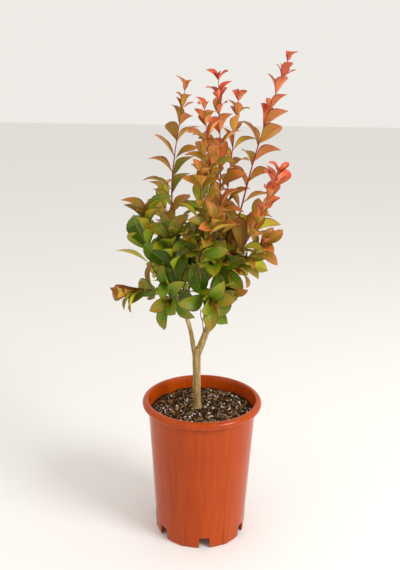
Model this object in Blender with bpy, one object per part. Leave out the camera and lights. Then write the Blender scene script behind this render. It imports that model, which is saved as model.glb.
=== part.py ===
"""Young crape myrtle in a deep nursery pot.

The pot stands on the plane z = 0 with its axis on Z. Its growing mix fills it to just under the
rim. A short trunk rises from the mix, forks in two boughs, and carries a crown of leafy shoots.
Each shoot is one closed, uneven mass of foliage. Sizes are in metres, and -Y is the front.
"""

import math

import bmesh
import bpy
import numpy as np
from mathutils import Matrix, Vector, noise

# Pot, a moulded container with a rolled rim and a foot ring.
POT_HEIGHT = 0.218
RIM_OUTER_RADIUS = 0.090
RIM_BEAD_RADIUS = 0.0061
WALL_TOP_RADIUS = 0.0808
FOOT_RADIUS = 0.068
WALL_THICKNESS = 0.0020
FLOOR_THICKNESS = 0.0022
STANDING_DISC_RADIUS = 0.044
CHANNEL_SLOPE_WIDTH = 0.0025
CHANNEL_HEIGHT = 0.0190
RIM_ARC_STEPS = 6
POT_STEPS = 60

# Drain notches through the foot ring.
NOTCH_COUNT = 6
NOTCH_FIRST_DEG = 5.5
NOTCH_WIDTH = 0.016
NOTCH_HEIGHT = 0.0175
NOTCH_CORNER_RADIUS = 0.003
NOTCH_DEPTH = 0.012

# Growing mix.
MIX_LEVEL = 0.1987
MIX_RELIEF = 0.0016
MIX_RELIEF_SCALE = 45.0
MIX_RINGS = 5
TRUNK_COLLAR_RADIUS = 0.018

# Clearance between pieces that touch.
GAP = 0.0003

# Trunk and boughs: centre line points from foot to end, with the radius at each.
TRUNK_FOOT = Vector((-0.0073, 0.0060, MIX_LEVEL + GAP))
TRUNK_HEIGHT = 0.0975
TRUNK_RADIUS = 0.0061
TRUNK_FLARE_RADIUS = 0.0086
TRUNK_FLARE_HEIGHT = 0.012
TRUNK_LEAN = -0.0022
FORK_SPREAD = 1.42
FORK_SWELL_HEIGHT = 0.026
FORK_SHIFT = 0.0022
FORK_DIVIDE_X = -0.0103
LIMB_SIDES = 14

BOUGHS = [
    # name, centre line, radius at foot, radius at end
    ("bough_right", [(-0.0078, 0.006, 0.288), (0.0048, 0.006, 0.3222), (0.0138, 0.006, 0.3484),
                     (0.0183, 0.006, 0.387), (0.0212, 0.004, 0.4225)], 0.0054, 0.0041),
    ("bough_left", [(-0.0122, 0.006, 0.288), (-0.0182, 0.005, 0.3222), (-0.0262, 0.002, 0.3527),
                    (-0.0285, 0.000, 0.3670)], 0.0038, 0.0025),
    ("branchlet_front", [(-0.0245, -0.0015, 0.3650), (-0.0145, -0.0110, 0.3760),
                         (-0.0060, -0.0180, 0.3840)], 0.0014, 0.0011),
]

# Foliage masses, one for each leafy shoot: where the shoot starts and ends, how far its middle
# bows from the straight line, and the mass's radius near its foot, at its fullest and at its tip.
FOLIAGE = [
    ("foliage_tall_right", (0.036, 0.013, 0.440), (0.1165, 0.060, 0.716),
     (-0.003, 0.0, 0.008), 0.022, 0.031, 0.014),
    ("foliage_red_right", (0.041, -0.012, 0.436), (0.097, -0.058, 0.572),
     (0.004, 0.0, -0.004), 0.020, 0.028, 0.018),
    ("foliage_centre", (0.020, -0.006, 0.436), (0.0155, -0.030, 0.690),
     (0.003, 0.004, 0.0), 0.018, 0.027, 0.013),
    ("foliage_back_right", (0.024, 0.022, 0.440), (0.046, 0.070, 0.661),
     (0.0, -0.004, 0.006), 0.019, 0.028, 0.013),
    ("foliage_front", (0.006, -0.030, 0.444), (-0.002, -0.060, 0.660),
     (0.006, 0.0, 0.0), 0.018, 0.027, 0.014),
    ("foliage_spire_left", (-0.040, 0.014, 0.412), (-0.031, 0.050, 0.674),
     (-0.012, 0.0, 0.0), 0.019, 0.028, 0.012),
    ("foliage_front_short", (-0.006, -0.062, 0.462), (-0.006, -0.088, 0.568),
     (0.0, 0.0, 0.0), 0.020, 0.026, 0.016),
    ("foliage_left", (-0.070, -0.020, 0.428), (-0.088, -0.034, 0.518),
     (-0.006, 0.0, 0.0), 0.022, 0.040, 0.022),
    ("foliage_left_heart", (-0.032, -0.016, 0.392), (-0.046, -0.050, 0.478),
     (-0.004, 0.0, 0.0), 0.024, 0.035, 0.022),
    ("foliage_left_low", (-0.058, -0.010, 0.384), (-0.110, -0.030, 0.394),
     (0.0, 0.0, 0.006), 0.024, 0.034, 0.020),
    ("foliage_foot_left", (-0.034, -0.014, 0.380), (-0.046, -0.056, 0.366),
     (0.0, 0.0, 0.004), 0.018, 0.026, 0.018),
    ("foliage_front_pink", (-0.012, -0.040, 0.426), (0.012, -0.094, 0.506),
     (0.0, 0.0, 0.0), 0.018, 0.026, 0.017),
    ("foliage_rosette", (-0.001, -0.026, 0.390), (0.010, -0.064, 0.382),
     (0.0, 0.0, 0.004), 0.020, 0.030, 0.020),
    ("foliage_bough_front", (0.020, -0.012, 0.412), (0.032, -0.046, 0.398),
     (0.0, 0.0, 0.004), 0.018, 0.025, 0.018),
    ("foliage_right_low", (0.048, 0.000, 0.424), (0.086, -0.026, 0.470),
     (0.0, 0.0, -0.002), 0.020, 0.025, 0.016),
    ("foliage_back_centre", (0.004, 0.034, 0.436), (-0.004, 0.096, 0.590),
     (0.0, 0.0, 0.0), 0.020, 0.030, 0.016),
    ("foliage_back_left", (-0.042, 0.040, 0.404), (-0.062, 0.096, 0.516),
     (0.0, 0.0, 0.0), 0.022, 0.032, 0.018),
    ("foliage_back_low_left", (-0.030, 0.024, 0.384), (-0.048, 0.086, 0.398),
     (0.0, 0.0, 0.006), 0.020, 0.032, 0.020),
    ("foliage_back_low", (0.010, 0.026, 0.404), (0.020, 0.088, 0.430),
     (0.0, 0.0, 0.004), 0.020, 0.032, 0.020),
    ("foliage_back_right_low", (0.046, 0.026, 0.424), (0.076, 0.078, 0.476),
     (0.0, 0.0, 0.0), 0.020, 0.032, 0.020),
]
MASS_SIDES = 9
MASS_STATIONS = 9
MASS_UNEVENNESS = 0.20
MASS_NOISE_SCALE = 30.0
MASS_PAIR_SPACING = 0.033
MASS_PAIR_SWELL = 0.10
SEPARATION_STEPS = 400

COLOURS = {
    "pot": ((0.62, 0.13, 0.02), 0.35),
    "growing_mix": ((0.07, 0.035, 0.018), 0.95),
    "bark": ((0.50, 0.40, 0.20), 0.70),
    "foliage_green": ((0.16, 0.24, 0.03), 0.55),
    "foliage_bronze": ((0.38, 0.20, 0.03), 0.55),
    "foliage_red": ((0.62, 0.16, 0.07), 0.55),
}
BRONZE_ABOVE = 0.47
RED_ABOVE = 0.60


def clear_scene():
    for thing in list(bpy.data.objects):
        bpy.data.objects.remove(thing, do_unlink=True)


def make_material(name):
    colour, roughness = COLOURS[name]
    material = bpy.data.materials.get(name) or bpy.data.materials.new(name)
    material.use_nodes = True
    shader = material.node_tree.nodes["Principled BSDF"]
    shader.inputs["Base Color"].default_value = (*colour, 1.0)
    shader.inputs["Roughness"].default_value = roughness
    shader.inputs["Metallic"].default_value = 0.0
    return material


def add_object(name, bm, material, smooth=True):
    bmesh.ops.recalc_face_normals(bm, faces=bm.faces)
    mesh = bpy.data.meshes.new(name)
    bm.to_mesh(mesh)
    bm.free()
    mesh.materials.append(make_material(material))
    if smooth:
        mesh.shade_smooth()
        mesh.set_sharp_from_angle(angle=math.radians(40))
    thing = bpy.data.objects.new(name, mesh)
    bpy.context.scene.collection.objects.link(thing)
    return thing


def turn_profile(points, steps):
    """Turns a profile of (radius, z) points round Z; points on the axis become poles."""
    bm = bmesh.new()
    verts = [bm.verts.new((radius, 0.0, z)) for radius, z in points]
    edges = [bm.edges.new(pair) for pair in zip(verts, verts[1:])]
    bmesh.ops.spin(bm, geom=verts + edges, cent=(0, 0, 0), axis=(0, 0, 1), angle=math.tau,
                   steps=steps, use_merge=True)
    bmesh.ops.remove_doubles(bm, verts=bm.verts, dist=1e-6)
    return bm


def wall_radius(z):
    return FOOT_RADIUS + (WALL_TOP_RADIUS - FOOT_RADIUS) * z / (POT_HEIGHT - 2 * RIM_BEAD_RADIUS)


def make_pot():
    """One moulded shell: foot ring, raised drain channel, standing disc, wall and rolled rim."""
    bead_r = RIM_OUTER_RADIUS - RIM_BEAD_RADIUS
    bead_z = POT_HEIGHT - RIM_BEAD_RADIUS
    profile = [(0.0, 0.0), (STANDING_DISC_RADIUS, 0.0),
               (STANDING_DISC_RADIUS + CHANNEL_SLOPE_WIDTH, CHANNEL_HEIGHT),
               (wall_radius(CHANNEL_HEIGHT) - WALL_THICKNESS, CHANNEL_HEIGHT),
               (FOOT_RADIUS - WALL_THICKNESS, 0.0), (FOOT_RADIUS, 0.0)]
    profile.append((wall_radius(bead_z - RIM_BEAD_RADIUS), bead_z - RIM_BEAD_RADIUS))
    for step in range(RIM_ARC_STEPS + 1):
        angle = -math.pi / 2 + math.pi * step / RIM_ARC_STEPS
        profile.append((bead_r + RIM_BEAD_RADIUS * math.cos(angle),
                        bead_z + RIM_BEAD_RADIUS * math.sin(angle)))
    profile.append((wall_radius(bead_z) - WALL_THICKNESS, bead_z))
    ceiling = CHANNEL_HEIGHT + FLOOR_THICKNESS
    profile.append((wall_radius(ceiling) - WALL_THICKNESS, ceiling))
    profile.append((STANDING_DISC_RADIUS + CHANNEL_SLOPE_WIDTH - WALL_THICKNESS, ceiling))
    profile.append((STANDING_DISC_RADIUS - WALL_THICKNESS, FLOOR_THICKNESS))
    profile.append((0.0, FLOOR_THICKNESS))
    pot = add_object("pot", turn_profile(profile, POT_STEPS), "pot")
    for index in range(NOTCH_COUNT):
        cut = pot.modifiers.new("notch", 'BOOLEAN')
        cut.operation = 'DIFFERENCE'
        cut.solver = 'EXACT'
        cut.object = make_notch_cutter(index)
    return pot


def make_notch_cutter(index):
    """A block with rounded upper edges, set across the foot ring at the notch's angle."""
    bm = bmesh.new()
    bmesh.ops.create_cube(bm, size=1.0)
    bmesh.ops.scale(bm, vec=(NOTCH_WIDTH, NOTCH_DEPTH, 2 * NOTCH_HEIGHT), verts=bm.verts)
    top_edges = [edge for edge in bm.edges
                 if all(vert.co.z > 0 for vert in edge.verts)
                 and abs(edge.verts[0].co.x - edge.verts[1].co.x) < 1e-6]
    bmesh.ops.bevel(bm, geom=top_edges, offset=NOTCH_CORNER_RADIUS, segments=3, profile=0.5,
                    affect='EDGES')
    bmesh.ops.translate(bm, vec=(0.0, -(FOOT_RADIUS - 0.15 * NOTCH_DEPTH), 0.0), verts=bm.verts)
    angle = math.radians(NOTCH_FIRST_DEG + index * 360.0 / NOTCH_COUNT)
    bmesh.ops.rotate(bm, cent=(0, 0, 0), matrix=Matrix.Rotation(angle, 3, 'Z'), verts=bm.verts)
    cutter = add_object(f"notch_cutter_{index + 1}", bm, "pot")
    cutter.hide_render = True
    cutter.display_type = 'WIRE'
    return cutter


def mix_height(x, y):
    """The mix is level round the trunk and gently uneven beyond its collar."""
    away = math.hypot(x - TRUNK_FOOT.x, y - TRUNK_FOOT.y)
    ease = min(1.0, max(0.0, (away - TRUNK_COLLAR_RADIUS) / TRUNK_COLLAR_RADIUS))
    relief = noise.noise(Vector((x, y, 0.0)) * MIX_RELIEF_SCALE)
    return MIX_LEVEL + ease * MIX_RELIEF * relief


def make_growing_mix():
    """The fill of the pot, a clearance away from its floor and wall."""
    ceiling = CHANNEL_HEIGHT + FLOOR_THICKNESS + GAP
    low = FLOOR_THICKNESS + GAP
    top_radius = wall_radius(MIX_LEVEL) - WALL_THICKNESS - 2 * GAP
    profile = [(0.0, low), (STANDING_DISC_RADIUS - WALL_THICKNESS - 2 * GAP, low),
               (STANDING_DISC_RADIUS + CHANNEL_SLOPE_WIDTH - WALL_THICKNESS - 2 * GAP, ceiling),
               (wall_radius(ceiling) - WALL_THICKNESS - 2 * GAP, ceiling)]
    for ring in range(MIX_RINGS):
        profile.append((top_radius * (1 - ring / MIX_RINGS), MIX_LEVEL))
    profile.append((0.0, MIX_LEVEL))
    bm = turn_profile(profile, POT_STEPS // 2)
    for vert in bm.verts:
        if vert.co.z > MIX_LEVEL - GAP:
            vert.co.z = mix_height(vert.co.x, vert.co.y)
    return add_object("growing_mix", bm, "growing_mix")


def loft(stations, sides):
    """A closed tube through (centre, direction, radius, spread) stations.

    It starts as a capped circle, and each next station is the end face extruded and reshaped.
    """
    bm = bmesh.new()
    bmesh.ops.create_circle(bm, cap_ends=True, radius=1.0, segments=sides)
    face = bm.faces[:][0]
    unit = [vert.co.copy() for vert in face.verts]
    for index, (centre, direction, radius, spread) in enumerate(stations):
        if index:
            face = bmesh.ops.extrude_discrete_faces(bm, faces=[face])["faces"][0]
        turn = Vector((0, 0, 1)).rotation_difference(direction)
        for vert, circle in zip(face.verts, unit):
            place = turn @ (circle * radius)
            vert.co = centre + Vector((place.x * spread, place.y, place.z))
    bottom = [edge for edge in bm.edges if edge.is_boundary]
    bmesh.ops.holes_fill(bm, edges=bottom, sides=sides)
    return bm


def smooth_path(points, count):
    """Points spread evenly by parameter along a smooth curve through the given ones."""
    points = [Vector(point) for point in points]
    ends = [2 * points[0] - points[1], *points, 2 * points[-1] - points[-2]]
    path = []
    for index in range(count):
        place = index / (count - 1) * (len(points) - 1)
        span = min(int(place), len(points) - 2)
        t = place - span
        a, b, c, d = ends[span:span + 4]
        path.append(0.5 * (2 * b + (c - a) * t + (2 * a - 5 * b + 4 * c - d) * t * t
                           + (3 * b - a - 3 * c + d) * t ** 3))
    return path


def directions(path):
    steps = [after - before for before, after in zip(path, path[1:])]
    ways = [steps[0], *[a + b for a, b in zip(steps, steps[1:])], steps[-1]]
    return [way.normalized() for way in ways]


def keep_side(bm, point, normal):
    """Cuts the solid by a plane, keeps what lies behind the normal and closes the cut."""
    geometry = bm.verts[:] + bm.edges[:] + bm.faces[:]
    cut = bmesh.ops.bisect_plane(bm, geom=geometry, dist=1e-7, plane_co=point, plane_no=normal,
                                 clear_outer=True)
    rim = [item for item in cut["geom_cut"] if isinstance(item, bmesh.types.BMEdge)]
    if rim:
        bmesh.ops.holes_fill(bm, edges=rim, sides=0)


def make_trunk():
    """The trunk flares at the mix, tapers, and widens again below the fork."""
    count = 12
    stations = []
    for index in range(count + 1):
        t = index / count
        z = t * TRUNK_HEIGHT
        flare = math.exp(-3.0 * z / TRUNK_FLARE_HEIGHT) * (TRUNK_FLARE_RADIUS - TRUNK_RADIUS)
        fork = max(0.0, 1 - (TRUNK_HEIGHT - z) / FORK_SWELL_HEIGHT) ** 2
        centre = TRUNK_FOOT + Vector((TRUNK_LEAN * t + FORK_SHIFT * fork, 0.0, z))
        radius = TRUNK_RADIUS * (1 - 0.05 * t) + flare
        stations.append((centre, Vector((0, 0, 1)), radius, 1 + (FORK_SPREAD - 1) * fork))
    return add_object("trunk", loft(stations, LIMB_SIDES), "bark")


def make_bough(name, points, foot_radius, end_radius):
    count = 9
    path = smooth_path(points, count)
    stations = []
    for index, (centre, way) in enumerate(zip(path, directions(path))):
        t = index / (count - 1)
        stations.append((centre, way, foot_radius + (end_radius - foot_radius) * t, 1.0))
    bm = loft(stations, LIMB_SIDES)
    if name in ("bough_right", "bough_left"):
        fork_z = TRUNK_FOOT.z + TRUNK_HEIGHT + GAP
        keep_side(bm, (0, 0, fork_z), (0, 0, -1))
        side = -1 if name == "bough_right" else 1
        keep_side(bm, (FORK_DIVIDE_X - side * GAP / 2, 0, 0), (side, 0, 0))
    return add_object(name, bm, "bark")


def shoot_stations(base, tip, bow, foot_radius, full_radius, tip_radius, count):
    """The shoot's centre line and the radius of the foliage round it."""
    base = Vector(base)
    tip = Vector(tip)
    bow = Vector(bow)
    length = (tip - base).length
    stations = []
    for index in range(count):
        t = index / (count - 1)
        centre = base.lerp(tip, t) + bow * 4 * t * (1 - t)
        fullest = 0.35
        if t < fullest:
            ease = math.sin(t / fullest * math.pi / 2)
            radius = foot_radius + (full_radius - foot_radius) * ease
        else:
            radius = full_radius + (tip_radius - full_radius) * (t - fullest) / (1 - fullest)
        swell = math.cos(math.tau * t * length / MASS_PAIR_SPACING)
        stations.append((centre, radius * (1 + MASS_PAIR_SWELL * swell)))
    return stations


def dividing_plane(points_a, points_b, share):
    """The plane midway between two hulls of points, from their two nearest points."""
    a = points_a.mean(axis=0)
    b = points_b.mean(axis=0)
    for step in range(SEPARATION_STEPS):
        way = b - a
        near_a = points_a[np.argmax(points_a @ way)]
        near_b = points_b[np.argmin(points_b @ way)]
        weight = 2.0 / (step + 3.0)
        a = a + (near_a - a) * weight
        b = b + (near_b - b) * weight
    way = Vector(b - a)
    return Vector(a).lerp(Vector(b), share), way.normalized(), way.length


def touches(row_a, row_b):
    reach = 1 + MASS_UNEVENNESS
    return any((a - b).length < (ra + rb) * reach for a, ra in row_a for b, rb in row_b)


def make_mass(name, seed, stations, planes):
    path = [centre for centre, radius in stations]
    rows = []
    for index, (way, (centre, radius)) in enumerate(zip(directions(path), stations)):
        rows.append((centre, way, radius, 1.0))
    # A short rounded end closes the foot and the tip.
    first, last = rows[0], rows[-1]
    rows.insert(0, (first[0] - first[1] * 0.45 * first[2], first[1], 0.55 * first[2], 1.0))
    rows.append((last[0] + last[1] * 0.55 * last[2], last[1], 0.50 * last[2], 1.0))
    bm = loft(rows, MASS_SIDES)
    offset = Vector((seed * 3.7, seed * 1.3, seed * 2.1))
    for vert in bm.verts:
        centre = min(path, key=lambda point: (point - vert.co).length)
        push = noise.noise(vert.co * MASS_NOISE_SCALE + offset) * MASS_UNEVENNESS
        vert.co += (vert.co - centre) * push
    bmesh.ops.recalc_face_normals(bm, faces=bm.faces)
    for point, normal in planes:
        keep_side(bm, point - normal * GAP / 2, normal)
    height = 0.5 * (path[0].z + path[-1].z)
    tint = "foliage_green"
    if height > BRONZE_ABOVE:
        tint = "foliage_bronze"
    if path[-1].z > RED_ABOVE and height > BRONZE_ABOVE + 0.06:
        tint = "foliage_red"
    return add_object(name, bm, tint, smooth=False)


def make_foliage():
    rows = {row[0]: shoot_stations(*row[1:], MASS_STATIONS) for row in FOLIAGE}
    limbs = {name: [(point, radius) for point in smooth_path(points, 12)]
             for name, points, radius, end in BOUGHS}
    for seed, name in enumerate(rows):
        planes = []
        points = np.array([centre for centre, radius in rows[name]])
        for other, stations in rows.items():
            if other == name or not touches(rows[name], stations):
                continue
            facing = np.array([centre for centre, radius in stations])
            plane = dividing_plane(points, facing, 0.5)
            planes.append(plane[:2])
        for stations in limbs.values():
            if not touches(rows[name], stations):
                continue
            facing = np.array([centre for centre, radius in stations])
            point, normal, distance = dividing_plane(points, facing, 1.0)
            planes.append((point - normal * (stations[0][1] + GAP), normal))
        make_mass(name, seed + 1, rows[name], planes)


clear_scene()
make_pot()
make_growing_mix()
make_trunk()
for bough in BOUGHS:
    make_bough(*bough)
make_foliage()
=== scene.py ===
"""A young crape myrtle in a deep nursery pot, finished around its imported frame.

Sizes are in metres. The pot stands on z = 0, and -Y is the front.
"""

import math
import random

import bmesh
import bpy
from mathutils import Matrix, Vector, noise


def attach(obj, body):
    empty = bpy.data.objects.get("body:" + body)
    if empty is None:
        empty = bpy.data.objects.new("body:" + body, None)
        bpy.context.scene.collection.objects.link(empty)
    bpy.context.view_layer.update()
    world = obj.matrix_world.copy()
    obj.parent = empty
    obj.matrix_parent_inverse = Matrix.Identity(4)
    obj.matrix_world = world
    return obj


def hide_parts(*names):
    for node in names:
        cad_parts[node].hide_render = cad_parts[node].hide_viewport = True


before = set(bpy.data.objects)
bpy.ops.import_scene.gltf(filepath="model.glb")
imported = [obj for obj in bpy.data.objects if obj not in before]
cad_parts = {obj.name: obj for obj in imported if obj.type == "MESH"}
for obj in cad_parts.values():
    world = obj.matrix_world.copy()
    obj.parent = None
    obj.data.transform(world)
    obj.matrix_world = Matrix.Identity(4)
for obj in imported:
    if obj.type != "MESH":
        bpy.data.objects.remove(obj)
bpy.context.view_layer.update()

# Camera: the photograph is taken a little above the crown, looking down at the pot.
FRAME_HEIGHT_PX = 570
FOCAL_PX = 800
SENSOR = 36.0
EYE = Vector((0.0, -1.1073, 0.7400))
LOOK_DOWN = 0.3010
LOOK_ASIDE = 0.0048
TILT = 0.0131

lens = bpy.data.cameras.new("camera")
lens.sensor_width = SENSOR
lens.lens = FOCAL_PX / FRAME_HEIGHT_PX * SENSOR
lens.clip_start = 0.01
camera = bpy.data.objects.new("camera", lens)
camera.matrix_world = (Matrix.Translation(EYE) @ Matrix.Rotation(LOOK_ASIDE, 4, 'Z')
                       @ Matrix.Rotation(math.pi / 2 - LOOK_DOWN, 4, 'X')
                       @ Matrix.Rotation(TILT, 4, 'Z'))
bpy.context.scene.collection.objects.link(camera)
bpy.context.scene.camera = camera


# Pot. One shell of glossy terracotta-coloured plastic, moulded in one shot: a foot ring with six
# drain notches, a raised drain channel, a standing disc, a tapered wall and a rolled rim. Narrow
# raised strips between the notches stand out slightly, and a painted shade line along each
# strip's edge makes them show as faint dark upright lines.
class Link:
    """A node's output, on which Python's operators build Math nodes."""

    def __init__(self, finish, socket):
        self.finish = finish
        self.socket = socket

    def math(self, operation, other=0.0, flip=False, clamp=False):
        first, second = (other, self) if flip else (self, other)
        settings = {"operation": operation, "use_clamp": clamp}
        return self.finish.node("ShaderNodeMath", settings, {0: first, 1: second})

    def __add__(self, other):
        return self.math("ADD", other)

    def __sub__(self, other):
        return self.math("SUBTRACT", other)

    def __rsub__(self, other):
        return self.math("SUBTRACT", other, flip=True)

    def __mul__(self, other):
        return self.math("MULTIPLY", other)

    def __pow__(self, other):
        return self.math("POWER", other)

    __radd__ = __add__
    __rmul__ = __mul__

    def above(self, edge):
        return self.math("GREATER_THAN", edge)

    def size(self):
        return self.math("ABSOLUTE")

    def held(self):
        return self.math("ADD", 0.0, clamp=True)


class Finish:
    """A material with one Principled shader and the nodes that feed it."""

    def __init__(self, name, **plain):
        self.material = bpy.data.materials.new(name)
        self.material.use_nodes = True
        self.tree = self.material.node_tree
        self.shader = self.tree.nodes["Principled BSDF"]
        for socket, value in plain.items():
            self.set(socket.replace("_", " "), value)

    def set(self, socket, value):
        self.feed(self.shader.inputs[socket], value)

    def feed(self, socket, value):
        if isinstance(value, Link):
            self.tree.links.new(value.socket, socket)
        elif isinstance(value, tuple) and len(value) == 3 and socket.type == 'RGBA':
            socket.default_value = (*value, 1.0)
        else:
            socket.default_value = value

    def node(self, kind, settings, sockets, output=0):
        node = self.tree.nodes.new(kind)
        for name, value in settings.items():
            if name == "stops":
                self.set_stops(node.color_ramp, value)
            else:
                setattr(node, name, value)
        for name, value in sockets.items():
            self.feed(node.inputs[name], value)
        return Link(self, node.outputs[output])

    def set_stops(self, ramp, stops):
        while len(ramp.elements) < len(stops):
            ramp.elements.new(1.0)
        for element, (place, colour) in zip(ramp.elements, stops):
            element.position = place
            element.color = (*colour, 1.0)

    def coords(self, uv=None):
        if uv:
            return self.node("ShaderNodeUVMap", {"uv_map": uv}, {})
        return self.node("ShaderNodeTexCoord", {}, {}, output="Object")

    def noise(self, where, scale, detail=3.0, stretch=(1.0, 1.0, 1.0)):
        placed = self.node("ShaderNodeMapping", {}, {"Vector": where, "Scale": stretch})
        return self.node("ShaderNodeTexNoise", {}, {"Vector": placed, "Scale": scale,
                                                    "Detail": detail})

    def mix(self, factor, low, high):
        node = self.tree.nodes.new("ShaderNodeMix")
        node.data_type = 'RGBA'
        self.feed(node.inputs[0], factor)
        self.feed(node.inputs[6], low)
        self.feed(node.inputs[7], high)
        return Link(self, node.outputs[2])

    def bump(self, height, strength, distance):
        self.set("Normal", self.node("ShaderNodeBump", {}, {
            "Height": height, "Strength": strength, "Distance": distance}))


def add_piece(name, bm, finishes, slot, *replaced, smooth=60.0):
    """Makes the bmesh a finished piece that rides with the plant."""
    mesh = bpy.data.meshes.new(name)
    bm.to_mesh(mesh)
    bm.free()
    for finish in finishes:
        mesh.materials.append(finish.material)
    mesh.shade_smooth()
    mesh.set_sharp_from_angle(angle=math.radians(smooth))
    piece = bpy.data.objects.new(name, mesh)
    bpy.context.scene.collection.objects.link(piece)
    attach(piece, "root")
    if replaced:
        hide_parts(*replaced)
    return piece


POT_HEIGHT = 0.218
RIM_RADIUS = 0.090
RIM_BEAD = 0.0061
WALL_TOP = 0.0808
FOOT = 0.068
WALL = 0.0018
DISC_RADIUS = 0.044
DISC_SLOPE = 0.0025
CHANNEL = 0.0190
FLOOR = 0.0022
POT_STEPS = 240
WALL_RINGS = 26
NOTCHES = 6
NOTCH_FIRST = math.radians(5.5)
NOTCH_WIDTH = 0.016
NOTCH_HEIGHT = 0.0175
NOTCH_CORNER = 0.003
NOTCH_DEPTH = 0.012
STRIP_HALF_WIDTH = math.radians(5.0)
STRIP_RAISE = 0.0009
STRIP_TALL = 0.026
STRIP_LINE = 0.25


def wall_radius(z):
    return FOOT + (WALL_TOP - FOOT) * z / (POT_HEIGHT - 2 * RIM_BEAD)


def strip_raise(angle, z):
    """How far a raised strip stands out: fully near the foot, faintly above."""
    pitch = math.tau / NOTCHES
    off = (angle - NOTCH_FIRST + pitch / 2) % pitch - pitch / 2
    off = abs(abs(off) - pitch / 2)
    if off > STRIP_HALF_WIDTH:
        return 0.0
    fade = 1.0 if z < STRIP_TALL else STRIP_LINE
    return STRIP_RAISE * fade


bead_r = RIM_RADIUS - RIM_BEAD
bead_z = POT_HEIGHT - RIM_BEAD
ceiling = CHANNEL + FLOOR
profile = [(0.0, 0.0), (DISC_RADIUS, 0.0), (DISC_RADIUS + DISC_SLOPE, CHANNEL),
           (wall_radius(CHANNEL) - WALL, CHANNEL), (FOOT - WALL, 0.0003), (FOOT - 0.0012, 0.0),
           (FOOT - 0.0003, 0.0002)]
for ring in range(WALL_RINGS + 1):
    z = 0.001 + (bead_z - RIM_BEAD - 0.001) * ring / WALL_RINGS
    profile.append((wall_radius(z), z))
for step in range(15):
    turn = -math.pi / 2 + math.pi * 1.12 * step / 14
    profile.append((bead_r + RIM_BEAD * math.cos(turn), bead_z + RIM_BEAD * math.sin(turn)))
for ring in range(12):
    z = bead_z + (ceiling - bead_z) * ring / 11
    profile.append((wall_radius(z) - WALL, z))
profile += [(DISC_RADIUS + DISC_SLOPE - WALL, ceiling), (DISC_RADIUS - WALL, FLOOR), (0.0, FLOOR)]

bm = bmesh.new()
verts = [bm.verts.new((radius, 0.0, z)) for radius, z in profile]
edges = [bm.edges.new(pair) for pair in zip(verts, verts[1:])]
bmesh.ops.spin(bm, geom=verts + edges, cent=(0, 0, 0), axis=(0, 0, 1), angle=math.tau,
               steps=POT_STEPS, use_merge=True)
bmesh.ops.remove_doubles(bm, verts=bm.verts, dist=1e-6)
bmesh.ops.recalc_face_normals(bm, faces=bm.faces)
for vert in bm.verts:
    radius = math.hypot(vert.co.x, vert.co.y)
    if radius > wall_radius(vert.co.z) - 0.0005 and vert.co.z < bead_z - RIM_BEAD - 0.002:
        angle = math.atan2(vert.co.x, -vert.co.y)
        grow = 1 + strip_raise(angle, vert.co.z) / radius
        vert.co.x *= grow
        vert.co.y *= grow

plastic = Finish("glossy_terracotta_plastic", Roughness=0.3, Specular_IOR_Level=0.24)
here = plastic.coords()
streaks = plastic.noise(here, 6.0, 4.0, (30.0, 30.0, 1.0))
clouds = plastic.noise(here, 9.0, 3.0)
tone = (streaks * 0.5 + clouds * 0.5 - 0.35) * 2.0
mottled = plastic.mix(tone.held(), (0.34, 0.038, 0.001), (0.50, 0.078, 0.002))
x, y, z = (plastic.node("ShaderNodeSeparateXYZ", {}, {"Vector": here}, output=axis)
           for axis in "XYZ")
pitch = math.tau / NOTCHES
# Painted shade: a thin dark line along each raised strip's edge, strong near the foot and faint above,
# stands in for the shade at the step between strip and wall.
turned = x.math("ARCTAN2", y * -1.0) - NOTCH_FIRST + 2.5 * pitch
off = (turned.math("MODULO", pitch) - pitch / 2).size()
painted_groove_shade = (1.0 - ((off - pitch / 2).size() - STRIP_HALF_WIDTH).size() * 110.0).held()
painted_shade_fade = (1.0 - (z - STRIP_TALL).held() * 60.0).held() * 0.75 + 0.14
plastic.set("Base Color", plastic.mix(painted_groove_shade * painted_shade_fade, mottled, (0.10, 0.012, 0.001)))
scuffs = plastic.noise(here, 220.0, 5.0, (1.0, 1.0, 0.25))
plastic.set("Roughness", 0.10 + scuffs * 0.24)
plastic.bump(streaks * 0.7 + scuffs * 0.3, 0.25, 0.0006)
pot = add_piece("pot_shell", bm, [plastic], "pot", "pot", smooth=35.0)
for index in range(NOTCHES):
    cut = bmesh.new()
    bmesh.ops.create_cube(cut, size=1.0)
    bmesh.ops.scale(cut, vec=(NOTCH_WIDTH, NOTCH_DEPTH, 2 * NOTCH_HEIGHT), verts=cut.verts)
    upper = [edge for edge in cut.edges if all(vert.co.z > 0 for vert in edge.verts)
             and abs(edge.verts[0].co.x - edge.verts[1].co.x) < 1e-6]
    bmesh.ops.bevel(cut, geom=upper, offset=NOTCH_CORNER, segments=5, profile=0.5,
                    affect='EDGES', material=-1)
    bmesh.ops.translate(cut, vec=(0.0, 0.15 * NOTCH_DEPTH - FOOT, 0.0), verts=cut.verts)
    turn = Matrix.Rotation(NOTCH_FIRST + index * math.tau / NOTCHES, 3, 'Z')
    bmesh.ops.rotate(cut, cent=(0, 0, 0), matrix=turn, verts=cut.verts)
    mesh = bpy.data.meshes.new("notch_cutter")
    cut.to_mesh(mesh)
    cut.free()
    cutter = bpy.data.objects.new("notch_cutter", mesh)
    bpy.context.scene.collection.objects.link(cutter)
    notch = pot.modifiers.new("notch", 'BOOLEAN')
    notch.operation = 'DIFFERENCE'
    notch.solver = 'EXACT'
    notch.object = cutter
    with bpy.context.temp_override(object=pot, active_object=pot, selected_objects=[pot]):
        bpy.ops.object.modifier_apply(modifier=notch.name)
    bpy.data.objects.remove(cutter, do_unlink=True)
pot.data.set_sharp_from_angle(angle=math.radians(35))
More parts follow.
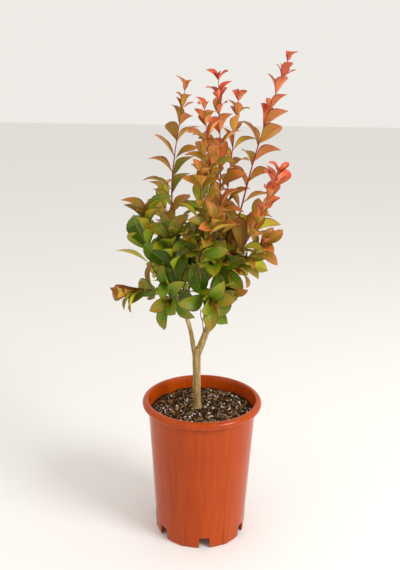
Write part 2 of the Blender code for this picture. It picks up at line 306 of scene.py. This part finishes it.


# Growing mix. Moist coir and fine bark, filled to just under the rim and crumbly on top, with
# tan fibres and white perlite through it.
MIX_LEVEL = 0.1987
MIX_LOW = 0.1600
TRUNK_FOOT = Vector((-0.0073, 0.0060, 0.1990))
MIX_RADIUS = wall_radius(MIX_LEVEL) - WALL - 0.0006
MIX_SEED = 7


def mix_top(x, y):
    """The mix's relief: broad heaps, crumbs, and a level collar round the trunk."""
    away = math.hypot(x - TRUNK_FOOT.x, y - TRUNK_FOOT.y)
    ease = min(1.0, max(0.15, (away - 0.010) / 0.020))
    spot = Vector((x, y, 0.0))
    broad = noise.noise(spot * 45.0) * 0.0024
    crumbs = noise.noise(spot * 260.0 + Vector((3.0, 1.0, 0.0))) * 0.0018
    fine = noise.noise(spot * 700.0) * 0.0005
    return MIX_LEVEL + ease * (broad + crumbs) + fine


def earth(name, dark, light, roughness):
    finish = Finish(name, Roughness=roughness, Specular_IOR_Level=0.12)
    here = finish.coords()
    grain = finish.noise(here, 420.0, 4.0)
    finish.set("Base Color", finish.mix(((grain - 0.3) * 2.2).math("ADD", 0.0, clamp=True),
                                        dark, light))
    finish.bump(grain, 0.5, 0.0008)
    return finish


bm = bmesh.new()
bmesh.ops.create_circle(bm, cap_ends=False, radius=MIX_RADIUS, segments=180)
rim = bm.edges[:]
ring = rim
for step in range(64):
    made = bmesh.ops.extrude_edge_only(bm, edges=ring)["geom"]
    inner = [item for item in made if isinstance(item, bmesh.types.BMVert)]
    size = (MIX_RADIUS * (1 - (step + 1) / 65)) / math.hypot(inner[0].co.x, inner[0].co.y)
    bmesh.ops.scale(bm, vec=(size, size, 1.0), verts=inner)
    ring = [item for item in made if isinstance(item, bmesh.types.BMEdge)]
bmesh.ops.holes_fill(bm, edges=ring, sides=0)
for vert in bm.verts:
    vert.co.z = mix_top(vert.co.x, vert.co.y)
made = bmesh.ops.extrude_edge_only(bm, edges=rim)["geom"]
for item in made:
    if isinstance(item, bmesh.types.BMVert):
        item.co.z = MIX_LOW
foot = [item for item in made if isinstance(item, bmesh.types.BMEdge) and item.is_boundary]
bmesh.ops.holes_fill(bm, edges=foot, sides=0)
bmesh.ops.recalc_face_normals(bm, faces=bm.faces)
dark_mix = earth("dark_growing_mix", (0.012, 0.005, 0.002), (0.060, 0.025, 0.008), 0.95)
add_piece("mix_bed", bm, [dark_mix], "growing_mix", "growing_mix", smooth=70.0)

draw = random.Random(MIX_SEED)


def mix_spot(reach):
    """A place on the mix, clear of the trunk."""
    while True:
        radius = reach * math.sqrt(draw.random())
        angle = draw.uniform(0.0, math.tau)
        spot = Vector((radius * math.cos(angle), radius * math.sin(angle), 0.0))
        if (spot - Vector((TRUNK_FOOT.x, TRUNK_FOOT.y, 0.0))).length > 0.0095:
            spot.z = mix_top(spot.x, spot.y)
            return spot


def scatter_crumbs(name, count, sizes, squash, lift, finishes, slot, subdivisions=1):
    """Irregular lumps, each a squashed and dented ball."""
    bm = bmesh.new()
    for index in range(count):
        size = draw.uniform(*sizes)
        spot = mix_spot(MIX_RADIUS - 0.004)
        turn = Matrix.Rotation(draw.uniform(0, math.tau), 4, 'Z')
        tip = Matrix.Rotation(draw.uniform(-0.7, 0.7), 4, 'X')
        shape = Matrix.Diagonal((1.0, draw.uniform(*squash), draw.uniform(*squash), 1.0))
        place = Matrix.Translation(spot + Vector((0, 0, size * lift)))
        made = bmesh.ops.create_icosphere(bm, subdivisions=subdivisions, radius=size,
                                          matrix=place @ turn @ tip @ shape)
        for vert in made["verts"]:
            vert.co += (vert.co - spot) * draw.uniform(-0.22, 0.22)
        colour = int(len(finishes) * draw.random() ** 1.7)
        for face in {face for vert in made["verts"] for face in vert.link_faces}:
            face.material_index = colour
    add_piece(name, bm, finishes, slot, smooth=30.0)


crumb_finishes = [earth("black_peat_crumb", (0.010, 0.005, 0.002), (0.040, 0.016, 0.006), 0.9),
                  earth("brown_bark_crumb", (0.070, 0.026, 0.007), (0.24, 0.100, 0.030), 0.85),
                  earth("tan_coir_crumb", (0.19, 0.090, 0.028), (0.50, 0.29, 0.11), 0.85)]
scatter_crumbs("mix_crumbs", 1300, (0.0008, 0.0032), (0.35, 0.8), 0.15, crumb_finishes,
               "growing_mix")
perlite = earth("white_perlite", (0.55, 0.53, 0.50), (0.85, 0.84, 0.82), 0.9)
scatter_crumbs("mix_perlite", 130, (0.0008, 0.0021), (0.6, 0.95), 0.45, [perlite], "growing_mix")

bm = bmesh.new()
for index in range(900):
    length = draw.uniform(0.003, 0.010)
    width = draw.uniform(0.00022, 0.0006)
    spot = mix_spot(MIX_RADIUS - 0.006)
    turn = Matrix.Rotation(draw.uniform(0, math.tau), 4, 'Z')
    tip = Matrix.Rotation(draw.gauss(0.0, 0.22), 4, 'Y')
    shape = Matrix.Diagonal((length, width, width, 1.0))
    place = Matrix.Translation(spot + Vector((0, 0, 0.0006)))
    made = bmesh.ops.create_cube(bm, size=1.0, matrix=place @ turn @ tip @ shape)
    colour = draw.choice((0, 1, 1, 2, 2))
    for face in {face for vert in made["verts"] for face in vert.link_faces}:
        face.material_index = colour
fibre_finishes = [earth("dark_coir_fibre", (0.03, 0.016, 0.008), (0.09, 0.045, 0.022), 0.9),
                  earth("brown_coir_fibre", (0.10, 0.055, 0.026), (0.22, 0.13, 0.065), 0.9),
                  earth("straw_fibre", (0.26, 0.18, 0.10), (0.48, 0.36, 0.22), 0.85)]
add_piece("mix_fibres", bm, fibre_finishes, "growing_mix", smooth=30.0)


# Trunk and boughs. Living wood under thin, smooth bark that is tan with olive streaks, small dark
# specks and faint ridges. The trunk flares at the mix and forks in a thick and a thin bough.
def through(points, count):
    """Points spread evenly by parameter along a smooth curve through the given ones."""
    points = [Vector(point) for point in points]
    ends = [2 * points[0] - points[1], *points, 2 * points[-1] - points[-2]]
    path = []
    for index in range(count):
        place = index / (count - 1) * (len(points) - 1)
        span = min(int(place), len(points) - 2)
        t = place - span
        a, b, c, d = ends[span:span + 4]
        path.append(0.5 * (2 * b + (c - a) * t + (2 * a - 5 * b + 4 * c - d) * t * t
                           + (3 * b - a - 3 * c + d) * t ** 3))
    return path


def tube(bm, path, radii, sides, finish_at=None):
    """Adds a closed tapering tube: a capped circle, extruded along the path."""
    ways = [(after - before).normalized() for before, after in zip(path, path[1:])]
    ways.append(ways[-1])
    made = bmesh.ops.create_circle(bm, cap_ends=True, radius=1.0, segments=sides)
    face = made["verts"][0].link_faces[0]
    unit = [vert.co.copy() for vert in face.verts]
    every = list(face.verts)
    for index, (centre, way, radius) in enumerate(zip(path, ways, radii)):
        if index:
            face = bmesh.ops.extrude_discrete_faces(bm, faces=[face])["faces"][0]
            every += list(face.verts)
        turn = Vector((0, 0, 1)).rotation_difference(way)
        for vert, circle in zip(face.verts, unit):
            vert.co = centre + turn @ (circle * radius)
        if finish_at:
            for side in {item for vert in face.verts for item in vert.link_faces}:
                side.material_index = finish_at(index)
    foot = [edge for vert in every[:sides] for edge in vert.link_edges if edge.is_boundary]
    bmesh.ops.holes_fill(bm, edges=list(set(foot)), sides=sides)
    return every


BOUGH_RIGHT = [(-0.0078, 0.006, 0.286), (0.0048, 0.006, 0.3222), (0.0138, 0.006, 0.3484),
               (0.0183, 0.006, 0.387), (0.0212, 0.004, 0.4225)]
BOUGH_LEFT = [(-0.0118, 0.006, 0.284), (-0.0182, 0.005, 0.3222), (-0.0262, 0.002, 0.3527),
              (-0.0285, 0.000, 0.3670)]
BRANCHLET = [(-0.0275, 0.0005, 0.3630), (-0.0145, -0.0110, 0.3760), (-0.0040, -0.0190, 0.3850)]
bm = bmesh.new()
heights = [0.0, 0.002, 0.005, 0.009, 0.014, 0.030, 0.050, 0.070, 0.084, 0.091, 0.097]
path = [TRUNK_FOOT + Vector((-0.0022 * z / 0.097, 0.0, z)) for z in heights]
radii = [0.0061 * (1 - 0.4 * z) + 0.0022 * math.exp(-z / 0.004)
         + 0.0010 * max(0.0, 1 - (0.097 - z) / 0.025) for z in heights]
tube(bm, path, radii, 24)
for points, foot_radius, end_radius in ((BOUGH_RIGHT, 0.0054, 0.0041), (BOUGH_LEFT, 0.0037, 0.0025),
                                        (BRANCHLET, 0.0014, 0.0011)):
    path = through(points, 16)
    radii = [foot_radius + (end_radius - foot_radius) * index / 15 for index in range(16)]
    tube(bm, path, radii, 20)
bmesh.ops.recalc_face_normals(bm, faces=bm.faces)
bark = Finish("smooth_tan_bark", Roughness=0.6, Specular_IOR_Level=0.2)
here = bark.coords()
ridges = bark.noise(here, 90.0, 4.0, (6.0, 6.0, 0.5))
patches = bark.noise(here, 38.0, 3.0, (1.0, 1.0, 0.35))
specks = bark.noise(here, 520.0, 2.0).above(0.70)
tan = bark.mix(((patches - 0.31) * 4.0).math("ADD", 0.0, clamp=True), (0.20, 0.135, 0.030),
               (0.72, 0.55, 0.24))
streaked = bark.mix(((ridges - 0.42) * 3.0).math("ADD", 0.0, clamp=True), (0.26, 0.165, 0.050),
                    tan)
bark.set("Base Color", bark.mix(specks * 0.8, streaked, (0.05, 0.03, 0.015)))
bark.set("Roughness", 0.5 + ridges * 0.25)
bark.bump(ridges + specks * 0.3, 0.6, 0.0008)
limbs = add_piece("bark_limbs", bm, [bark], "bark", "trunk", "bough_right", "bough_left",
                  "branchlet_front")
weld = limbs.modifiers.new("weld", 'REMESH')
weld.mode = 'VOXEL'
weld.voxel_size = 0.00045
with bpy.context.temp_override(object=limbs, active_object=limbs, selected_objects=[limbs]):
    bpy.ops.object.modifier_apply(modifier=weld.name)
bm = bmesh.new()
bm.from_mesh(limbs.data)
for step in range(6):
    bmesh.ops.smooth_vert(bm, verts=bm.verts, factor=0.5, use_axis_x=True, use_axis_y=True,
                          use_axis_z=True)
bm.normal_update()
for vert in bm.verts:
    spot = vert.co
    ridge = noise.noise(Vector((spot.x * 420, spot.y * 420, spot.z * 55)))
    lump = noise.noise(spot * 110)
    vert.co += vert.normal * (0.00022 * ridge + 0.00035 * lump)
bm.to_mesh(limbs.data)
bm.free()
limbs.data.shade_smooth()


# Surface roots. A few pale, thread-thin roots lie on the mix at the right, and one dark hair-like
# root stands up behind the trunk.
draw = random.Random(MIX_SEED + 1)
bm = bmesh.new()
for index in range(11):
    angle = draw.uniform(-0.9, 0.55)
    out = Vector((math.cos(angle), math.sin(angle), 0.0))
    start = out * draw.uniform(0.034, 0.062)
    aside = Vector((-out.y, out.x, 0.0)) * draw.uniform(-0.022, 0.022)
    bends = [start, start + aside * 0.5 + out * draw.uniform(-0.006, 0.004), start + aside]
    bends = [Vector((bend.x, bend.y, mix_top(bend.x, bend.y) + rise))
             for bend, rise in zip(bends, (-0.0010, draw.uniform(0.001, 0.005), -0.0006))]
    tube(bm, through(bends, 12), [0.00042] * 12, 6)
hair = [(0.012, 0.052, MIX_LEVEL - 0.001), (0.013, 0.053, MIX_LEVEL + 0.012),
        (0.009, 0.054, MIX_LEVEL + 0.020)]
tube(bm, through(hair, 12), [0.00036] * 12, 6, lambda index: 1)
bmesh.ops.recalc_face_normals(bm, faces=bm.faces)
root_finishes = [earth("pale_root", (0.40, 0.28, 0.17), (0.66, 0.52, 0.36), 0.7),
                 earth("dark_root", (0.09, 0.030, 0.018), (0.17, 0.060, 0.035), 0.7)]
add_piece("surface_roots", bm, root_finishes, "growing_mix")


# Leaves. Each is a thin, firm blade with a short stalk, folded along its midrib and curled back
# at its pointed tip. The upper skin runs from deep green on old leaves to coral red on young
# ones, the lower skin is paler, and the edge is a fine dark line.
LEAF_ROWS = (-1.0, -0.90, -0.48, -0.055, 0.055, 0.48, 0.90, 1.0)
LEAF_STEPS = 10
LEAF_THICKNESS = 0.00022
TINTS = [
    # upper skin, lower skin: mature leaves first, youngest last
    ((0.058, 0.118, 0.003), (0.25, 0.34, 0.012)),
    ((0.120, 0.205, 0.004), (0.40, 0.47, 0.018)),
    ((0.205, 0.200, 0.005), (0.47, 0.41, 0.022)),
    ((0.265, 0.155, 0.006), (0.55, 0.36, 0.030)),
    ((0.340, 0.130, 0.008), (0.62, 0.31, 0.050)),
    ((0.450, 0.125, 0.012), (0.72, 0.28, 0.080)),
    ((0.530, 0.110, 0.022), (0.78, 0.25, 0.100)),
    ((0.580, 0.070, 0.028), (0.76, 0.18, 0.095)),
]
LAST_TINT = len(TINTS) - 1
EDGE_GREEN, EDGE_RED, RIB_GREEN, RIB_RED = range(2 * len(TINTS), 2 * len(TINTS) + 4)


def leaf_finish(name, colour, roughness, vein_depth):
    """A plain colour with the blade's veins and gloss worked in as relief."""
    finish = Finish(name, Base_Color=colour, Specular_IOR_Level=0.3)
    blade = finish.coords("OFBake")
    across = finish.node("ShaderNodeSeparateXYZ", {}, {"Vector": blade}, output="X")
    along = finish.node("ShaderNodeSeparateXYZ", {}, {"Vector": blade}, output="Y")
    side = (across - 0.5).math("ABSOLUTE")
    veins = ((along * 11.0 - side * 5.0) * math.tau).math("SINE") * 0.5 + 0.5
    grain = finish.noise(blade, 26.0, 2.0, (1.0, 2.4, 1.0))
    finish.set("Roughness", roughness + grain * 0.18)
    finish.bump(veins * 0.7 + grain * 0.3, vein_depth, 0.0003)
    return finish


leaf_finishes = [leaf_finish(f"leaf_upper_{index + 1}", upper, 0.32, 0.35)
                 for index, (upper, lower) in enumerate(TINTS)]
leaf_finishes += [leaf_finish(f"leaf_lower_{index + 1}", lower, 0.48, 0.6)
                  for index, (upper, lower) in enumerate(TINTS)]
leaf_finishes += [leaf_finish("leaf_edge_olive", (0.085, 0.065, 0.010), 0.4, 0.2),
                  leaf_finish("leaf_edge_red", (0.22, 0.035, 0.018), 0.4, 0.2),
                  leaf_finish("leaf_rib_green", (0.20, 0.24, 0.03), 0.4, 0.2),
                  leaf_finish("leaf_rib_red", (0.50, 0.17, 0.06), 0.4, 0.2)]

bm = bmesh.new()
bmesh.ops.create_grid(bm, x_segments=len(LEAF_ROWS) - 1, y_segments=LEAF_STEPS, size=1.0)
columns = sorted({round(vert.co.x, 4) for vert in bm.verts})
uv = bm.loops.layers.uv.new("OFBake")
for vert in bm.verts:
    vert.co.x = LEAF_ROWS[columns.index(round(vert.co.x, 4))]
    vert.co.y = (vert.co.y + 1) / 2
for face in bm.faces:
    for loop in face.loops:
        loop[uv].uv = (loop.vert.co.x / 2 + 0.5, loop.vert.co.y)
    middle = face.calc_center_median()
    face.material_index = 0
    if abs(middle.x) > 0.92 or middle.y > 0.97:
        face.material_index = EDGE_GREEN
    elif abs(middle.x) < 0.05:
        face.material_index = RIB_GREEN
    elif middle.y > 0.72:
        face.material_index = 1
upper_faces = bm.faces[:]
made = bmesh.ops.extrude_face_region(bm, geom=upper_faces)["geom"]
for item in made:
    if isinstance(item, bmesh.types.BMVert):
        item.co.z = 1.0
under = set(upper_faces)
for face in bm.faces:
    if face in under:
        if face.material_index < EDGE_GREEN:
            face.material_index += len(TINTS)
    elif len({round(vert.co.z) for vert in face.verts}) > 1:
        face.material_index = EDGE_GREEN
bmesh.ops.recalc_face_normals(bm, faces=bm.faces)
leaf_pattern = bpy.data.meshes.new("leaf_pattern")
bm.to_mesh(leaf_pattern)
bm.free()
LEAF_FACES = len(leaf_pattern.polygons)


def half_width(v):
    """The blade's outline: a short stalk, fullest past the middle, and a drawn-out tip."""
    body = max(0.0, math.sin(math.pi * min(1.0, v) ** 1.5)) ** 0.75
    return max(0.035 if v < 0.5 else 0.012, body)


def add_leaf(bm, foot, way, face_up, length, width, fold, curl, twist, tint, young, draw):
    """Lays one blade from its foot along way, its upper skin towards face_up."""
    side = way.cross(face_up).normalized()
    up = side.cross(way).normalized()
    start = len(bm.verts)
    start_face = len(bm.faces)
    bm.from_mesh(leaf_pattern)
    bm.verts.ensure_lookup_table()
    bm.faces.ensure_lookup_table()
    wave = draw.uniform(0.0, math.tau)
    for vert in bm.verts[start:]:
        u, v, skin = vert.co
        bend = curl * v * (0.35 + 0.65 * v)
        reach = length * (math.sin(bend) / bend if bend else 1.0) * v
        drop = length * v * (1 - math.cos(bend)) / bend if bend else 0.0
        out = half_width(v) * width
        lift = fold * (0.55 + 0.45 * math.sin(math.pi * v))
        across = u * out * math.cos(lift)
        rise = abs(u) ** 1.25 * out * math.sin(lift) - drop
        rise += 0.03 * width * math.sin(9.0 * v + wave) * abs(u)
        thick = LEAF_THICKNESS * (1.0 - 0.45 * abs(u)) * (0.4 + 0.6 * min(1.0, (1.05 - v) * 4))
        rise += skin * thick
        roll = twist * v
        x = across * math.cos(roll) - rise * math.sin(roll)
        z = across * math.sin(roll) + rise * math.cos(roll)
        vert.co = foot + way * reach + side * x + up * z
    for face in bm.faces[start_face:]:
        mark = face.material_index
        if mark == EDGE_GREEN and young:
            face.material_index = EDGE_RED
        elif mark == RIB_GREEN and young:
            face.material_index = RIB_RED
        elif mark < EDGE_GREEN:
            flush, below = mark % len(TINTS), mark >= len(TINTS)
            shade = min(LAST_TINT, tint + (1 if flush else 0))
            face.material_index = shade + (len(TINTS) if below else 0)


# Shoots. Each grows from a bough's end: its stem carries leaves in near pairs, close and small
# towards the tip, and side sprays low down. Old stems are tan, and young stems crimson.
RIGHT_END = BOUGH_RIGHT[-1]
LEFT_END = BOUGH_LEFT[-1]
FRONT_END = BRANCHLET[-1]
SHOOTS = [
    # mass, limb end, foot, tip, bow, pairs, leaf length low and high, first turn, turn per pair,
    # tint low and high, side sprays
    ("foliage_tall_right", RIGHT_END, (0.036, 0.013, 0.440), (0.1130, 0.060, 0.7080),
     (-0.003, 0.0, 0.008), 15, 0.049, 0.026, 0, 6, 2.0, 7.0, 1),
    ("foliage_red_right", RIGHT_END, (0.041, -0.012, 0.436), (0.095, -0.058, 0.567),
     (0.004, 0.0, -0.004), 10, 0.045, 0.028, 10, 16, 2.6, 6.6, 0),
    ("foliage_centre", RIGHT_END, (0.020, -0.006, 0.436), (0.0155, -0.030, 0.686),
     (0.003, 0.004, 0.0), 15, 0.049, 0.022, 70, 62, 1.0, 7.3, 2),
    ("foliage_back_right", RIGHT_END, (0.024, 0.022, 0.440), (0.046, 0.070, 0.652),
     (0.0, -0.004, 0.006), 12, 0.048, 0.024, 10, 70, 1.4, 5.6, 2),
    ("foliage_front", RIGHT_END, (0.006, -0.030, 0.444), (-0.002, -0.060, 0.650),
     (0.006, 0.0, 0.0), 13, 0.048, 0.025, 20, 66, 1.2, 5.6, 2),
    ("foliage_spire_left", LEFT_END, (-0.040, 0.014, 0.412), (-0.031, 0.050, 0.666),
     (-0.012, 0.0, 0.0), 14, 0.048, 0.026, 0, 22, 1.2, 5.0, 2),
    ("foliage_front_short", FRONT_END, (-0.006, -0.052, 0.452), (-0.006, -0.080, 0.566),
     (0.0, 0.0, 0.0), 6, 0.044, 0.026, 40, 75, 1.2, 3.6, 1),
    ("foliage_left", LEFT_END, (-0.070, -0.018, 0.422), (-0.080, -0.028, 0.497),
     (-0.004, 0.0, 0.0), 4, 0.055, 0.050, 0, 60, 0.6, 2.0, 1),
    ("foliage_left_heart", LEFT_END, (-0.032, -0.016, 0.392), (-0.046, -0.050, 0.470),
     (-0.004, 0.0, 0.0), 5, 0.056, 0.046, 40, 80, 0.4, 1.6, 1),
    ("foliage_left_low", LEFT_END, (-0.058, -0.010, 0.384), (-0.100, -0.028, 0.394),
     (0.0, 0.0, 0.006), 5, 0.045, 0.038, 80, 85, 1.6, 3.0, 0),
    ("foliage_foot_left", LEFT_END, (-0.034, -0.014, 0.386), (-0.046, -0.048, 0.390),
     (0.0, 0.0, 0.004), 3, 0.050, 0.042, 60, 85, 0.4, 2.0, 0),
    ("foliage_front_pink", LEFT_END, (-0.012, -0.040, 0.430), (0.010, -0.083, 0.504),
     (0.0, 0.0, 0.0), 5, 0.040, 0.034, 90, 80, 1.4, 3.2, 0),
    ("foliage_rosette", FRONT_END, (-0.001, -0.026, 0.388), (0.006, -0.050, 0.392),
     (0.0, 0.0, 0.002), 3, 0.052, 0.046, 30, 80, 1.0, 2.2, 0),
    ("foliage_bough_front", RIGHT_END, (0.020, -0.012, 0.418), (0.030, -0.040, 0.408),
     (0.0, 0.0, 0.004), 2, 0.054, 0.046, 80, 85, 0.6, 1.4, 0),
    ("foliage_right_low", RIGHT_END, (0.048, 0.000, 0.424), (0.080, -0.024, 0.462),
     (0.0, 0.0, -0.002), 4, 0.038, 0.034, 50, 80, 1.8, 3.6, 0),
    ("foliage_back_centre", RIGHT_END, (0.004, 0.034, 0.436), (-0.004, 0.096, 0.590),
     (0.0, 0.0, 0.0), 8, 0.048, 0.026, 20, 75, 1.0, 4.2, 2),
    ("foliage_back_left", LEFT_END, (-0.042, 0.040, 0.404), (-0.062, 0.094, 0.508),
     (0.0, 0.0, 0.0), 7, 0.048, 0.032, 30, 80, 0.6, 3.0, 2),
    ("foliage_back_low_left", LEFT_END, (-0.030, 0.024, 0.384), (-0.048, 0.080, 0.398),
     (0.0, 0.0, 0.006), 4, 0.052, 0.042, 70, 85, 0.3, 1.6, 1),
    ("foliage_back_low", RIGHT_END, (0.010, 0.026, 0.404), (0.020, 0.080, 0.430),
     (0.0, 0.0, 0.004), 4, 0.052, 0.042, 20, 85, 0.3, 1.6, 1),
    ("foliage_back_right_low", RIGHT_END, (0.046, 0.026, 0.424), (0.076, 0.074, 0.476),
     (0.0, 0.0, 0.0), 4, 0.050, 0.040, 60, 85, 0.5, 2.6, 1),
]
LEANS = {"foliage_left": (30, 20), "foliage_foot_left": (60, 50)}
SHOOT_SEED = 2031
STEM_SIDES = 8


def stem_finish(name, low, high):
    finish = Finish(name, Roughness=0.5, Specular_IOR_Level=0.4)
    here = finish.coords()
    grain = finish.noise(here, 300.0, 3.0, (1.0, 1.0, 0.3))
    finish.set("Base Color", finish.mix(((grain - 0.3) * 2.2).math("ADD", 0.0, clamp=True),
                                        low, high))
    finish.bump(grain, 0.4, 0.0004)
    return finish


stem_finishes = [stem_finish("tan_twig", (0.16, 0.085, 0.035), (0.40, 0.26, 0.12)),
                 stem_finish("red_brown_twig", (0.16, 0.045, 0.025), (0.34, 0.13, 0.065)),
                 stem_finish("crimson_stem", (0.22, 0.012, 0.022), (0.42, 0.045, 0.055)),
                 stem_finish("dry_grey_twig", (0.045, 0.030, 0.022), (0.14, 0.10, 0.075))]
TAN, RED_BROWN, CRIMSON, DRY = range(4)
stems = bmesh.new()


def grow(leaves, draw, path, pairs, low, high, first, turn, tint_low, tint_high, begin,
         lean_low=48, lean_high=26):
    """Sets pairs of leaves along a stem by the shoot's own rule."""
    count = len(path) - 1
    for pair in range(pairs):
        share = pair / max(1, pairs - 1)
        for half in range(2):
            step = begin + (1 - begin) * share ** 0.92 + half * 0.035 * (1 - share)
            place = min(0.999, step) * count
            index = int(place)
            foot = path[index].lerp(path[index + 1], place - index)
            stem = (path[index + 1] - path[index]).normalized()
            angle = math.radians(first + turn * pair + 180 * half + draw.gauss(0, 12))
            across = stem.cross(Vector((0, 1, 0))).normalized()
            other = across.cross(stem).normalized()
            out = across * math.cos(angle) + other * math.sin(angle)
            lean = math.radians(lean_low + (lean_high - lean_low) * share + draw.gauss(0, 7))
            way = (stem * math.cos(lean) + out * math.sin(lean)).normalized()
            up = (stem * math.sin(lean) - out * math.cos(lean)).normalized()
            tipped = Matrix.Rotation(math.radians(draw.gauss(0, 20)), 3, way)
            length = (low + (high - low) * share ** 4) * draw.uniform(0.88, 1.12)
            tint = tint_low + (tint_high - tint_low) * share ** 1.5 + draw.gauss(0, 0.6)
            tint = max(0, min(LAST_TINT, round(tint)))
            add_leaf(leaves, foot, way, tipped @ up, length, length * draw.uniform(0.25, 0.30),
                     math.radians(draw.uniform(12, 34) + 16 * share),
                     math.radians(draw.uniform(15, 50) + 8 * share),
                     math.radians(draw.gauss(0, 14)), tint, tint >= 3, draw)


for number, row in enumerate(SHOOTS):
    (mass, limb, foot, tip, bow, pairs, low, high, first, turn, tint_low, tint_high, sprays) = row
    draw = random.Random(SHOOT_SEED + number)
    limb, foot, tip, bow = (Vector(place) for place in (limb, foot, tip, bow))
    middle = foot.lerp(tip, 0.5) + bow
    path = through([limb, foot, middle, tip], 40)
    length = sum((b - a).length for a, b in zip(path, path[1:]))
    thick = 0.0010 + 0.0045 * length
    radii = [thick + (0.00045 - thick) * (index / 39) ** 0.8 for index in range(40)]
    red_from = 20 if tint_high > 3 else 60

    def stem_colour(index):
        if index > red_from:
            return CRIMSON
        return RED_BROWN if index > 0.5 * red_from else TAN

    tube(stems, path, radii, STEM_SIDES, stem_colour)
    begin = (foot - limb).length / length * 0.85
    leaves = bmesh.new()
    grow(leaves, draw, path, pairs, low, high, first, turn, tint_low, tint_high, begin,
         *LEANS.get(mass, (48, 26)))
    # The growing point: two or three folded young leaves.
    grow(leaves, draw, path[-4:], 2, high * 0.95, high * 0.55, first + 40, 85,
         tint_high, tint_high + 0.6, 0.1, 30, 14)
    for spray in range(sprays):
        place = path[int(39 * (begin + 0.10 + 0.13 * spray))]
        angle = draw.uniform(0, math.tau)
        out = Vector((math.cos(angle), math.sin(angle), 0.0))
        end = place + out * draw.uniform(0.020, 0.030) + Vector((0, 0, draw.uniform(0.02, 0.035)))
        side = through([place, place.lerp(end, 0.5) + out * 0.003, end], 10)
        tube(stems, side, [0.0010 - 0.00006 * index for index in range(10)], 6,
             lambda index: RED_BROWN)
        grow(leaves, draw, side, 3, low * 0.72, low * 0.5, draw.uniform(0, 180), 85,
             tint_low + 0.4, tint_low + 1.4, 0.35)
    slot = "foliage_green" if tint_high < 3 else "foliage_bronze"
    if tint_high > 5:
        slot = "foliage_red"
    add_piece(mass.replace("foliage", "leaves"), leaves, leaf_finishes, slot, mass, smooth=80.0)

for start, bend, end in (((0.0010, 0.0015, 0.3235), (-0.0005, 0.000, 0.338), (0.0012, -0.001, 0.3525)),
                         ((-0.0003, 0.0005, 0.3400), (-0.0035, -0.001, 0.349), (-0.0040, 0.0, 0.3600))):
    side = through([start, bend, end], 10)
    tube(stems, side, [0.0008 - 0.00004 * index for index in range(10)], 8, lambda index: DRY)
bmesh.ops.recalc_face_normals(stems, faces=stems.faces)
add_piece("twigs", stems, stem_finishes, "bark")


# Floor and light, which aren't part of the plant.
floor_mesh = bpy.data.meshes.new("floor")
bm = bmesh.new()
bmesh.ops.create_grid(bm, x_segments=1, y_segments=1, size=6.0)
bm.to_mesh(floor_mesh)
bm.free()
floor = bpy.data.objects.new("floor", floor_mesh)
bpy.context.scene.collection.objects.link(floor)
floor_finish = Finish("pale_floor", Base_Color=(0.86, 0.85, 0.83), Roughness=0.7)
floor_mesh.materials.append(floor_finish.material)
floor.location.z = -0.0002

bpy.context.scene.view_settings.view_transform = 'Standard'
world = bpy.data.worlds.new("studio")
world.use_nodes = True
world.node_tree.nodes["Background"].inputs["Color"].default_value = (1.0, 0.965, 0.92, 1.0)
world.node_tree.nodes["Background"].inputs["Strength"].default_value = 0.86
bpy.context.scene.world = world


def add_light(name, place, aim, size, power):
    lamp = bpy.data.lights.new(name, 'AREA')
    lamp.shape = 'DISK'
    lamp.size = size
    lamp.energy = power
    light = bpy.data.objects.new(name, lamp)
    light.matrix_world = (Matrix.Translation(place)
                          @ (Vector(aim) - Vector(place)).to_track_quat('-Z', 'Y').to_matrix().to_4x4())
    bpy.context.scene.collection.objects.link(light)


add_light("key", (1.5, -1.1, 1.5), (0.0, 0.0, 0.35), 1.0, 36.0)
add_light("fill", (-1.6, -1.2, 1.1), (0.0, 0.0, 0.35), 1.2, 3.0)
